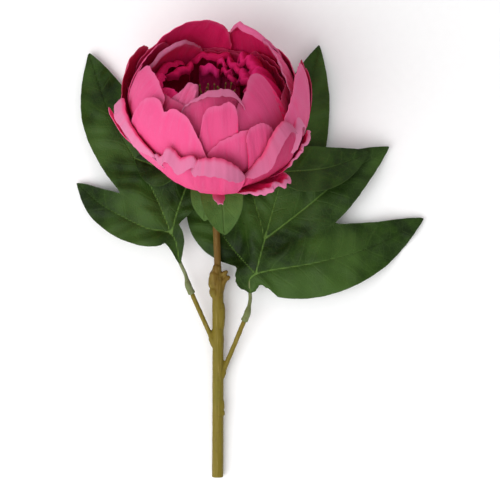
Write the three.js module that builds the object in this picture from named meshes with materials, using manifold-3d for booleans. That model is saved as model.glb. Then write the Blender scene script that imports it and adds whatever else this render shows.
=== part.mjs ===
// A cut artificial peony, lying down: a moulded stem on a steel wire, two leaf sprays that push onto
// side branches, and a flower head whose die-cut petal rings are threaded on a pin above the calyx.
// Millimetres, +Z up. The stem lies along +Y with the flower at the far end, and the flower, the cut end
// and the leaf tips rest on the plane Z = 0.

import * as THREE from "three";
import { mergeVertices } from "three/addons/utils/BufferGeometryUtils.js";
import Module from "manifold-3d";

const wasm = await Module();
wasm.setup();

// ---- Driving dimensions ----

const GAP = 0.35; // clearance between pieces that touch

// Stem and its wire.
const HEAD_DISTANCE = 203; // along Y, from the cut end to the foot of the flower
const STEM_RADIUS = 3.7; // below the top node
const NECK_RADIUS = 2.3; // above it
const TOP_NODE_AT = 130; // distance of the top node from the cut end
const WIRE_RADIUS = 1.2;
const WIRE_LENGTH = 172;
const BRANCH_RADIUS = 1.7; // where a side branch leaves the stem
const PEG_RADIUS = 1.1; // the tip of a branch, which a leaf sleeve covers
const PEG_LENGTH = 6;
const SLEEVE_WALL = 0.8;

// Flower head, measured along its own axis from its foot.
const HEAD_TILT = 39; // degrees that the flower's axis rises above the table
const BLOOM_RADIUS = 63; // the outermost petal ring
const BLOOM_BELLY = 45; // height of the widest place above the foot
const BLOOM_CROWN = 64; // from the belly to where the outermost ring would close
const RING_STEP = 2.8; // each of the big rings lies this far inside the one before
const CROWN_STEP = 4.9; // and would close this much lower
const FAR_RISE = 0.12; // the side that faces away from the stem's cut end stands taller, by this share
const PETAL_THICKNESS = 0.5;
const DISC_RADIUS = 7; // the middle of a petal ring, where its petals join
const DISC_THICKNESS = 0.8;
const DISC_PITCH = 1.25; // from one threaded disc to the next
const PIN_RADIUS = 2;
const CUP_RADIUS = 9;
const CUP_HEIGHT = 11.5;
const SOCKET_DEPTH = 4; // how far the stem goes up into the cup
const TUFT_FOOT_RADIUS = 5;
const TUFT_TOP_RADIUS = 11;
const TUFT_HEIGHT = 40;
const TUFT_SOCKET = 5; // how far the pin goes up into the tuft

// Leaves.
const BLADE_THICKNESS = 0.6;
const RIB_RADIUS = 1;

// ---- Materials ----

const finish = (color, roughness, metalness = 0) =>
  new THREE.MeshStandardMaterial({ color, roughness, metalness });
const petalPink = finish(0xe0457f, 0.75);
const innerPink = finish(0x9c1048, 0.8);
const leafGreen = finish(0x2c5a24, 0.5);
const ribGreen = finish(0x5c8a3c, 0.5);
const sepalGreen = finish(0x4d8038, 0.6);
const stemPlastic = finish(0x94803c, 0.5);
const wireSteel = finish(0x9a9a98, 0.35, 0.9);
const stamenThread = finish(0x8a6a3a, 0.7);

// ---- Solids ----

const point = (x, y, z) => new THREE.Vector3(x, y, z);
const through = (points) => new THREE.CatmullRomCurve3(points, false, "centripetal");
const radians = THREE.MathUtils.degToRad;
const { lerp, smoothstep } = THREE.MathUtils;

// A closed three.js geometry as a manifold-3d solid.
function solid(geometry) {
  const bare = new THREE.BufferGeometry()
    .setAttribute("position", geometry.getAttribute("position"))
    .setIndex(geometry.index);
  const merged = mergeVertices(bare, 1e-4);
  return new wasm.Manifold(
    new wasm.Mesh({
      numProp: 3,
      vertProperties: new Float32Array(merged.attributes.position.array),
      triVerts: new Uint32Array(merged.index.array),
    }),
  );
}

function geometryOf(manifold) {
  const made = manifold.getMesh();
  return new THREE.BufferGeometry()
    .setAttribute("position", new THREE.BufferAttribute(made.vertProperties, 3))
    .setIndex(new THREE.BufferAttribute(made.triVerts, 1));
}

const joined = (solids) => solids.reduce((all, next) => all.add(next));

// A closed sheet of the given thickness about the middle surface at(u, v), where u runs along it from
// 0 to 1 and v across it from -1 to 1. rows lists the values of u. Its front faces up the surface's normal.
function sheet(at, rows, across, thickness) {
  const columns = Array.from({ length: across + 1 }, (_, i) => -1 + (2 * i) / across);
  const step = 1e-3;
  const positions = [];
  const width = columns.length;
  const layer = rows.length * width;
  for (const side of [1, -1])
    for (const u of rows)
      for (const v of columns) {
        const alongU = at(u + step, v).sub(at(u - step, v));
        const acrossV = at(u, v + step).sub(at(u, v - step));
        const normal = alongU.cross(acrossV).normalize();
        positions.push(...at(u, v).addScaledVector(normal, (side * thickness) / 2).toArray());
      }
  const index = [];
  const quad = (a, b, c, d) => index.push(a, b, c, a, c, d);
  for (let i = 0; i < rows.length - 1; i++)
    for (let j = 0; j < across; j++) {
      const a = i * width + j;
      quad(a, a + width, a + width + 1, a + 1);
      quad(layer + a, layer + a + 1, layer + a + width + 1, layer + a + width);
    }
  const rim = [
    ...columns.map((_, j) => j),
    ...rows.slice(1).map((_, i) => (i + 1) * width + across),
    ...columns.slice(1).map((_, j) => layer - 2 - j),
    ...rows.slice(1, -1).map((_, i) => layer - (i + 2) * width),
  ];
  rim.forEach((a, k) => {
    const b = rim[(k + 1) % rim.length];
    quad(a, b, layer + b, layer + a);
  });
  return new THREE.BufferGeometry()
    .setAttribute("position", new THREE.Float32BufferAttribute(positions, 3))
    .setIndex(index);
}

// A closed round bar along a curve, with flat ends and the radius radiusAt(t) at the share t of its length.
function bar(curve, radiusAt, steps, sides) {
  const frames = curve.computeFrenetFrames(steps, false);
  const positions = [];
  for (let i = 0; i <= steps; i++) {
    const centre = curve.getPointAt(i / steps);
    for (let j = 0; j < sides; j++) {
      const angle = (2 * Math.PI * j) / sides;
      const radius = radiusAt(i / steps);
      centre
        .clone()
        .addScaledVector(frames.normals[i], radius * Math.cos(angle))
        .addScaledVector(frames.binormals[i], radius * Math.sin(angle))
        .toArray(positions, positions.length);
    }
  }
  const start = positions.length / 3;
  positions.push(...curve.getPointAt(0).toArray(), ...curve.getPointAt(1).toArray());
  const index = [];
  for (let j = 0; j < sides; j++) {
    const next = (j + 1) % sides;
    for (let i = 0; i < steps; i++) {
      const [a, b] = [i * sides + j, i * sides + next];
      index.push(a, b, b + sides, a, b + sides, a + sides);
    }
    index.push(start, next, j, start + 1, steps * sides + j, steps * sides + next);
  }
  return new THREE.BufferGeometry()
    .setAttribute("position", new THREE.Float32BufferAttribute(positions, 3))
    .setIndex(index);
}

// A solid of revolution about +Z from a closed outline of [radius, height] points, counterclockwise.
const turned = (outline, segments) =>
  new THREE.LatheGeometry(
    [...outline, outline[0]].map(([r, h]) => new THREE.Vector2(r, h)),
    segments,
  ).rotateX(Math.PI / 2);

const washer = (radius, bore, height, thickness) =>
  solid(
    turned(
      [
        [bore, height - thickness / 2],
        [radius, height - thickness / 2],
        [radius, height + thickness / 2],
        [bore, height + thickness / 2],
      ],
      20,
    ),
  );

// ---- The object's frames ----

const peony = new THREE.Group();
const head = new THREE.Group();
peony.add(head);

function add(name, manifold, material, group = peony) {
  const mesh = new THREE.Mesh(geometryOf(manifold), material);
  mesh.name = name;
  group.add(mesh);
}

// The flower lies on the back of its outermost petals, so they set how high its foot is.
const tilt = radians(HEAD_TILT);
const headLift =
  Math.max(
    ...Array.from({ length: 90 }, (_, i) => radians(-i)).map(
      (a) =>
        BLOOM_RADIUS * Math.cos(a) * Math.cos(tilt) -
        (BLOOM_BELLY + BLOOM_BELLY * Math.sin(a)) * Math.sin(tilt),
    ),
  ) +
  PETAL_THICKNESS / 2;
head.position.set(-1.6, HEAD_DISTANCE, headLift);
head.rotation.x = tilt - Math.PI / 2;
head.updateMatrixWorld(true);
const onHeadAxis = (height) => point(0, 0, height).applyMatrix4(head.matrixWorld);

// ---- Petal rings ----

// Each ring is one piece of formed fabric. Seen from the side its petals follow a quarter ellipse from
// the disc out to the belly and on up to their tips, so the rings nest and never meet.
// turns: where each petal stands around the axis, in degrees. tips: how far over each petal's tip curls,
// as degrees up the ellipse. width: the half width of a petal at the belly.
const RINGS = [
  { turns: [-147, -87, -27, 33, 93, 153], tips: 10, width: 23 },
  { turns: [-179, -115, -59, 1, 61, 121], tips: 18, width: 23 },
  { turns: [-172, -119, -55, -9, 52, 113], tips: 29, width: 22 },
  { turns: [-155, -97, -60, -14, 35, 95], tips: 39, width: 22 },
  { turns: [-142, -90, -45, 5, 65, 125], tips: 48, width: 21 },
  { turns: [-170, -118, -62, -2, 60, 118], tips: 52, width: 20 },
  { turns: [-145, -92, -35, 25, 88, 146], tips: 52, width: 18 },
  { turns: [-173, -117, -62, -5, 56, 118], tips: 46, width: 16 },
];
const INNER_RINGS = 2; // the last ones are the darker petals round the stamens
const ROWS_TO_BELLY = [0, 0.3, 0.65, 1];
const ROWS_TO_TIP = [0.5, 1];

function petal(ring, turn, spacing) {
  const base = -Math.acos((DISC_RADIUS - 0.6) / ring.radius);
  const bowl = (ring.disc - BLOOM_BELLY) / Math.sin(base);
  const tip = radians(ring.tips);
  const span = tip - base;
  const bellyShare = -base / span;
  const at = (u, v) => {
    const angle = base + u * span;
    const radius = ring.radius * Math.cos(angle);
    const rounded = Math.sqrt(1 - 0.72 * Math.max(0, (u - bellyShare) / (1.02 - bellyShare)) ** 2);
    const widening = smoothstep(u, -0.2, bellyShare) * rounded;
    const halfAngle = Math.min((ring.width * widening) / radius, 0.47 * spacing);
    const phi = turn + v * halfAngle;
    const crown = ring.crown * (1 + FAR_RISE * Math.max(0, Math.sin(phi)));
    const height = Math.sin(angle) * (angle < 0 ? bowl : crown);
    return point(radius * Math.cos(phi), radius * Math.sin(phi), BLOOM_BELLY + height);
  };
  const rows = [
    ...ROWS_TO_BELLY.map((share) => share * bellyShare),
    ...ROWS_TO_TIP.map((share) => lerp(bellyShare, 1, share)),
  ];
  return solid(sheet(at, rows, 3, PETAL_THICKNESS));
}

function petalRing(ring) {
  const turns = ring.turns.map(radians);
  const petals = turns.map((turn, i) => {
    const before = turn - (turns[i - 1] ?? turns.at(-1) - 2 * Math.PI);
    const after = (turns[i + 1] ?? turns[0] + 2 * Math.PI) - turn;
    return petal(ring, turn, Math.min(before, after));
  });
  const disc = washer(DISC_RADIUS, PIN_RADIUS + GAP, ring.disc, DISC_THICKNESS);
  return joined([disc, ...petals]);
}

const FIRST_DISC = 1.5; // height of the outermost ring's disc above the foot
RINGS.forEach((given, i) => {
  const ring = {
    ...given,
    radius: BLOOM_RADIUS - RING_STEP * i,
    crown: BLOOM_CROWN - CROWN_STEP * i,
    disc: FIRST_DISC + DISC_PITCH * i,
  };
  const inner = i >= RINGS.length - INNER_RINGS;
  add(`petal_ring_${i + 1}`, petalRing(ring), inner ? innerPink : petalPink, head);
});

// ---- Calyx cup, head pin and stamen tuft ----

const CUP_TOP = -2.8;
const cupBottom = CUP_TOP - CUP_HEIGHT;
const pinBottom = cupBottom + SOCKET_DEPTH + GAP;
const tuftBottom = FIRST_DISC + DISC_PITCH * (RINGS.length - 1) + DISC_THICKNESS / 2 + GAP;
const pinTop = tuftBottom + TUFT_SOCKET - GAP;
const socketRadius = NECK_RADIUS + GAP;

function calyxCup() {
  const bore = PIN_RADIUS + GAP;
  return solid(
    turned(
      [
        [socketRadius, cupBottom],
        [socketRadius + 1.6, cupBottom],
        [CUP_RADIUS * 0.66, cupBottom + CUP_HEIGHT * 0.35],
        [CUP_RADIUS * 0.92, cupBottom + CUP_HEIGHT * 0.7],
        [CUP_RADIUS, CUP_TOP],
        [bore, CUP_TOP],
        [bore, cupBottom + SOCKET_DEPTH],
        [socketRadius, cupBottom + SOCKET_DEPTH],
      ],
      20,
    ),
  );
}
add("calyx_cup", calyxCup(), sepalGreen, head);

const pinLine = new THREE.LineCurve3(point(0, 0, pinBottom), point(0, 0, pinTop));
add("head_pin", solid(bar(pinLine, () => PIN_RADIUS, 1, 16)), stemPlastic, head);

// The stamens: a flaring brush of stiff threads, moulded at its foot on a button that closes the pin.
function stamenTuft() {
  const bore = PIN_RADIUS + GAP;
  const roof = tuftBottom + TUFT_SOCKET;
  const top = tuftBottom + TUFT_HEIGHT;
  return solid(
    turned(
      [
        [bore, tuftBottom],
        [TUFT_FOOT_RADIUS, tuftBottom],
        [TUFT_FOOT_RADIUS, tuftBottom + 3],
        [lerp(TUFT_FOOT_RADIUS, TUFT_TOP_RADIUS, 0.6), tuftBottom + TUFT_HEIGHT * 0.5],
        [TUFT_TOP_RADIUS, top - 3],
        [TUFT_TOP_RADIUS * 0.8, top],
        [0, top - 3],
        [0, roof],
        [bore, roof],
      ],
      18,
    ),
  );
}
add("stamen_tuft", stamenTuft(), stamenThread, head);

// ---- Leaf blades ----

// One lobe of a leaf along a midrib. half: its half width. wide: where it is widest, as a share of its
// length. neck: the share of its length that stays narrow. trough: how far its edges rise above the
// midrib. roll: degrees that it turns about the midrib on the way to its tip.
function lobeSurface({ midrib, half, wide = 0.42, neck = 0, trough = 2, roll = 0 }) {
  const curve = through(midrib);
  return (u, v) => {
    const t = THREE.MathUtils.clamp(u, 0, 1);
    const tangent = curve.getTangentAt(t);
    const turn = radians(roll) * smoothstep(t, 0.15, 0.7);
    const side = tangent.clone().cross(point(0, 0, 1)).normalize().applyAxisAngle(tangent, turn);
    const up = side.clone().cross(tangent);
    const bulge = Math.pow(Math.max(0, (t - neck) / (1 - neck)), Math.log(0.5) / Math.log(wide));
    const reach = 0.35 + 0.8 * (1 - t) + half * Math.pow(Math.sin(Math.PI * bulge), 0.85);
    return curve
      .getPointAt(t)
      .addScaledVector(tangent, (u - t) * curve.getLength())
      .addScaledVector(side, -v * reach)
      .addScaledVector(up, trough * Math.sin(Math.PI * t) * v * v);
  };
}

const LOBE_ROWS = Array.from({ length: 11 }, (_, i) => i / 10);
const lobeSolid = (lobe) => solid(sheet(lobeSurface(lobe), LOBE_ROWS, 4, BLADE_THICKNESS));

// The moulded rib under a blade: a bar below each midrib, the stalk, and the sleeve over the branch's peg.
function rib(lobes, stalk, sleeve) {
  const below = BLADE_THICKNESS / 2 + 2 * GAP + RIB_RADIUS;
  const bars = lobes.map(({ midrib, half }) => {
    const line = through(midrib.map((p) => p.clone().add(point(0, 0, -below))));
    const share = half > 15 ? 0.72 : 0.6;
    const kept = Array.from({ length: 7 }, (_, i) => line.getPointAt((share * i) / 6));
    return solid(bar(through(kept), (t) => RIB_RADIUS * (1 - 0.55 * t), 7, 6));
  });
  const outer = PEG_RADIUS + GAP + SLEEVE_WALL;
  const stalkBar = bar(
    through([...sleeve, ...stalk, lobes[0].midrib[0].clone().add(point(0, 0, -below))]),
    (t) => lerp(outer, RIB_RADIUS, smoothstep(t, 0.25, 0.6)),
    9,
    10,
  );
  const [mouth, inside] = sleeve;
  const direction = inside.clone().sub(mouth).normalize();
  const bore = new THREE.LineCurve3(
    mouth.clone().addScaledVector(direction, -2),
    mouth.clone().addScaledVector(direction, PEG_LENGTH + GAP),
  );
  return joined([solid(stalkBar), ...bars]).subtract(solid(bar(bore, () => PEG_RADIUS + GAP, 1, 10)));
}

// ---- Stem ----

const neckEnd = onHeadAxis(cupBottom + SOCKET_DEPTH - GAP);
const neckLow = onHeadAxis(cupBottom - 6);
const stemRise = (neckLow.z - 5 - STEM_RADIUS) / neckLow.y; // slope of the straight part
const onStem = (y, x = 0, up = 0) => point(x, y, STEM_RADIUS + stemRise * y + up);
const stemLine = through([
  onStem(0),
  onStem(60, 0.3),
  onStem(TOP_NODE_AT, 0.2),
  onStem(160, -0.6),
  neckLow,
  neckEnd,
]);
const stemLength = stemLine.getLength();
const nodeShare = TOP_NODE_AT / stemLength;

// Side branches: where each leaves the stem and where its sleeve starts, with the direction there.
const LEFT_BRANCH = { foot: onStem(86, -1), bend: onStem(105, -9.6, 0.5), end: point(-16.6, 121, 11) };
const RIGHT_BRANCH = { foot: onStem(64, 1), bend: onStem(84, 9.6, 0.5), end: point(17.4, 103, 10.5) };
const pegTip = ({ bend, end }) =>
  end.clone().addScaledVector(end.clone().sub(bend).normalize(), PEG_LENGTH);

function branch({ foot, bend, end }) {
  const arm = bar(through([foot, bend, end]), (t) => lerp(BRANCH_RADIUS, PEG_RADIUS + 0.5, t), 6, 8);
  const peg = bar(
    new THREE.LineCurve3(end.clone().lerp(bend, 0.1), pegTip({ bend, end })),
    () => PEG_RADIUS,
    1,
    8,
  );
  return [solid(arm), solid(peg)];
}

function knob(centre, radius, squash) {
  const ball = new THREE.SphereGeometry(radius, 8, 6).scale(...squash);
  return solid(ball.translate(centre.x, centre.y, centre.z));
}

function stem() {
  const body = bar(
    stemLine,
    (t) => lerp(STEM_RADIUS, NECK_RADIUS, smoothstep(t, nodeShare, nodeShare + 0.07)),
    22,
    12,
  );
  const node = onStem(TOP_NODE_AT, -1.8, 0.4);
  const cutShoot = new THREE.LineCurve3(
    onStem(TOP_NODE_AT - 1, 1),
    onStem(TOP_NODE_AT + 4, 6.8, 0.8),
  );
  const wireBore = bar(new WireLine(-2, WIRE_LENGTH + GAP), () => WIRE_RADIUS + GAP, 16, 10);
  return joined([
    solid(body),
    ...branch(LEFT_BRANCH),
    ...branch(RIGHT_BRANCH),
    knob(node, 4.3, [0.9, 1.7, 0.95]),
    knob(onStem(TOP_NODE_AT - 8, -1.5, 0.6), 3.6, [0.9, 1.5, 1]),
    solid(bar(cutShoot, (t) => lerp(2.6, 1.7, t), 2, 8)),
    knob(onStem(104, 1.2, 0.3), 3.3, [0.9, 2.2, 0.9]),
    knob(onStem(44, 1.4, 0.3), 3.1, [0.9, 2, 0.9]),
  ]).subtract(solid(wireBore));
}

// The wire's own line: the stem's, from a distance behind the cut end up to a given length.
class WireLine extends THREE.Curve {
  constructor(from, to) {
    super();
    this.from = from;
    this.to = to;
  }
  getPoint(t) {
    const along = lerp(this.from, this.to, t);
    if (along >= 0) return stemLine.getPointAt(along / stemLength);
    return stemLine.getPointAt(0).addScaledVector(stemLine.getTangentAt(0), along);
  }
}

add("stem", stem(), stemPlastic);
add("stem_wire", solid(bar(new WireLine(0, WIRE_LENGTH), () => WIRE_RADIUS, 16, 10)), wireSteel);

// ---- Leaf sprays ----

function spray(side, branchGiven, stalk, lobes) {
  const mouth = branchGiven.end
    .clone()
    .addScaledVector(branchGiven.end.clone().sub(branchGiven.bend).normalize(), GAP);
  const sleeve = [mouth, pegTip(branchGiven)];
  add(`${side}_leaf_blade`, joined(lobes.map(lobeSolid)), leafGreen);
  add(`${side}_leaf_rib`, rib(lobes, stalk, sleeve), ribGreen);
}

const leftFork = point(-30, 160, 13);
spray("left", LEFT_BRANCH, [point(-21, 134, 10.6)], [
  {
    midrib: [point(-24.6, 142, 12), leftFork, point(-48, 165, 13), point(-75, 179, 9), point(-93, 194, 0.6)],
    half: 13,
    wide: 0.55,
  },
  {
    midrib: [leftFork, point(-41, 186, 14), point(-56, 213, 13), point(-71, 240, 10), point(-85, 280, 3)],
    half: 21,
    wide: 0.5,
  },
  {
    midrib: [leftFork, point(-27, 173, 13), point(-20, 193, 12), point(-13, 214, 11)],
    half: 11,
    wide: 0.5,
    neck: 0.1,
  },
]);

const rightFork = point(25, 134, 12);
const upperFork = point(31, 157, 12.5);
spray("right", RIGHT_BRANCH, [point(21.5, 117, 9.5)], [
  {
    midrib: [point(21.4, 122, 10.5), rightFork, point(66, 142, 14), point(103, 153, 8.5), point(136, 171, 0.6)],
    half: 22,
    wide: 0.42,
  },
  {
    midrib: [rightFork, upperFork, point(44, 203, 11), point(57, 245, 8), point(67, 285, 4)],
    half: 19,
    wide: 0.52,
  },
  { midrib: [upperFork, point(57, 177, 12), point(84, 199, 10), point(113, 218, 6)], half: 19 },
  {
    midrib: [rightFork, point(15, 145, 6), point(6, 156, 3.8), point(-2, 170, 3), point(-14, 203, 2.5)],
    half: 17,
    wide: 0.5,
    neck: 0.1,
    trough: 0.6,
  },
]);

// The collar leaf and the sepals are threaded under the first petal ring, on the same pin.
const COLLAR_DISC = -1.7;
const SEPAL_DISC = COLLAR_DISC + DISC_PITCH;

function collarLeaf() {
  const lobes = [
    {
      midrib: [
        point(5, 0, COLLAR_DISC),
        point(14, 0, COLLAR_DISC),
        point(25, 2, -6),
        point(47, 7, -8),
        point(74, 10, -7),
        point(101, 20, -2),
      ],
      half: 15,
      wide: 0.55,
      neck: 0.1,
      roll: 40,
    },
    {
      midrib: [
        point(-5, 0, COLLAR_DISC),
        point(-14, 1, COLLAR_DISC),
        point(-23, 4, -5),
        point(-36, 8, -5),
        point(-52, 13, -2),
      ],
      half: 13,
      wide: 0.6,
      neck: 0.15,
      roll: -40,
    },
  ];
  const disc = washer(DISC_RADIUS, PIN_RADIUS + GAP, COLLAR_DISC, DISC_THICKNESS);
  return joined([disc, ...lobes.map(lobeSolid)]);
}
add("collar_leaf", collarLeaf(), leafGreen, head);

// Sepals: [turn in degrees, length, half width, how far the tip bends back towards the stem].
const SEPALS = [
  [-77, 42, 11, 29],
  [-118, 36, 9, 24],
  [-35, 24, 8, -3],
  [25, 24, 8, -3],
  [95, 22, 8, -3],
  [160, 24, 8, -3],
];
function sepal([turn, length, half, back]) {
  const at = (radius, height) =>
    point(radius * Math.cos(radians(turn)), radius * Math.sin(radians(turn)), SEPAL_DISC + height);
  const outwards = length - Math.max(0, back) * 0.35;
  const curve = through([
    at(DISC_RADIUS - 1, 0),
    at(outwards * 0.45, back > 0 ? -1 : 0.7),
    at(outwards * 0.8, back > 0 ? -0.35 * back : 2.2),
    at(outwards, -back),
  ]);
  const across = at(1, 0).sub(at(0, 0)).cross(point(0, 0, 1));
  const surface = (u, v) => {
    const t = THREE.MathUtils.clamp(u, 0, 1);
    const reach = 0.5 + 2.2 * (1 - t) + half * Math.pow(Math.sin(Math.PI * Math.pow(t, 0.9)), 0.6);
    return curve
      .getPointAt(t)
      .addScaledVector(curve.getTangentAt(t), (u - t) * length)
      .addScaledVector(across, -v * reach);
  };
  return solid(sheet(surface, [0, 0.2, 0.4, 0.6, 0.8, 0.92, 1], 2, BLADE_THICKNESS));
}
const sepalDisc = washer(DISC_RADIUS, PIN_RADIUS + GAP, SEPAL_DISC, DISC_THICKNESS);
add("sepal_ring", joined([sepalDisc, ...SEPALS.map(sepal)]), sepalGreen, head);

// ---- Origin: the middle of the footprint, on the surface that the peony rests on ----

const extent = new THREE.Box3().setFromObject(peony, true);
const middle = extent.getCenter(new THREE.Vector3());
peony.position.set(-middle.x, -middle.y, -extent.min.z);

export default peony;
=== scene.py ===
# An artificial peony lying on its back on a pale surface: formed fabric petals and leaves with cut
# edges, on a moulded plastic stem. Shapes are worked out in millimetres and made in metres.
import math

import bpy
import numpy as np
from mathutils import Matrix, Vector, noise


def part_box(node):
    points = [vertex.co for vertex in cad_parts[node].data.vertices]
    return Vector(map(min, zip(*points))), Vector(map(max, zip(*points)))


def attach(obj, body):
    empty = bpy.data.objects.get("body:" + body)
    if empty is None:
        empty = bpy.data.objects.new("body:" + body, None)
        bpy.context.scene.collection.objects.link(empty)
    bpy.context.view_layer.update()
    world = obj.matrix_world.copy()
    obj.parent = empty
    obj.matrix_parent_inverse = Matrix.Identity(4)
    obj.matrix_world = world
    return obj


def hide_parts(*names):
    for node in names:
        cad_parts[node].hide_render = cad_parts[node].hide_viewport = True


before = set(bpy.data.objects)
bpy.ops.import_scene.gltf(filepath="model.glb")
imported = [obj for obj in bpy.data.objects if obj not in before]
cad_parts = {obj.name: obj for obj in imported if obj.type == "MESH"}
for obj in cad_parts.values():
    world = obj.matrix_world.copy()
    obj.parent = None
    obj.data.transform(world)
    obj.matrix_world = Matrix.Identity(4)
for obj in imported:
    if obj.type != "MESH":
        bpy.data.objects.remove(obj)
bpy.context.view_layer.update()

MM = 0.001
rad = math.radians

# ---- Places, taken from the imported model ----

TILT = rad(39)  # how far the flower's axis rises from the surface
AXIS = Vector((0, math.cos(TILT), math.sin(TILT)))
SIDE = Vector((1, 0, 0))
UNDER = Vector((0, math.sin(TILT), -math.cos(TILT)))  # from the axis towards the surface it lies on
PIN_MIDDLE = 2.85  # the middle of the head pin, above the flower's foot
pin_low, pin_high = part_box("head_pin")
FOOT = (pin_low + pin_high) / (2 * MM) - AXIS * PIN_MIDDLE
HEAD_DISTANCE = 203  # from the stem's cut end along the surface to the flower's foot
HEAD_ASIDE = 1.6  # how far left of the cut end that foot is
CUT_END = Vector((FOOT.x + HEAD_ASIDE, FOOT.y - HEAD_DISTANCE, 0))
HEAD = Matrix((SIDE, UNDER, AXIS)).transposed()


def in_head(x, y, h):
    """A point given across, under and along the flower's axis from its foot."""
    return FOOT + HEAD @ Vector((x, y, h))


FLAT_SIDE = Vector((-0.88, -0.47))  # the way across the axis to the side where the flower is a little flat
FLATTENED = 0.1  # the share by which its low petals are drawn in there


def in_bloom(x, y, h):
    """The same for a petal's point, drawn in towards the axis on the flower's flat side."""
    facing = FLAT_SIDE.dot(Vector((x, y))) / max(1, math.hypot(x, y))
    keep = 1 - FLATTENED * smooth(0.7, 1, facing) * smooth(60, 35, h)
    return in_head(x * keep, y * keep, h)


def place(x, y, z):
    """A point given right of, along and above the stem's cut end."""
    return CUT_END + Vector((x, y, z))


def smooth(low, high, x):
    """0 at low and 1 at high, with a soft start and end. It runs downwards when low is the greater."""
    t = min(1, max(0, (x - low) / (high - low)))
    return t * t * (3 - 2 * t)


def lerp(a, b, t):
    return a + (b - a) * t


def ripple(*at):
    """Smooth noise from about -1 to 1."""
    return noise.noise(Vector(at))


def curve_through(points, count):
    """Evenly stepped points on a smooth curve through the given ones."""
    between = 24  # fine steps from one given point to the next
    p = [points[0] * 2 - points[1], *points, points[-1] * 2 - points[-2]]
    fine = []
    for i in range(1, len(p) - 2):
        for k in range(between):
            t = k / between
            a, b, c, d = p[i - 1 : i + 3]
            square = a * 2 - b * 5 + c * 4 - d
            cube = b * 3 - a - c * 3 + d
            fine.append((b * 2 + (c - a) * t + square * t**2 + cube * t**3) / 2)
    fine.append(points[-1])
    lengths = [0]
    for a, b in zip(fine, fine[1:]):
        lengths.append(lengths[-1] + (b - a).length)
    out = []
    k = 0
    for i in range(count):
        want = lengths[-1] * i / (count - 1)
        while k < len(fine) - 2 and lengths[k + 1] < want:
            k += 1
        share = (want - lengths[k]) / max(1e-9, lengths[k + 1] - lengths[k])
        out.append(fine[k].lerp(fine[k + 1], min(1, max(0, share))))
    return out


# ---- Mesh building ----


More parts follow.
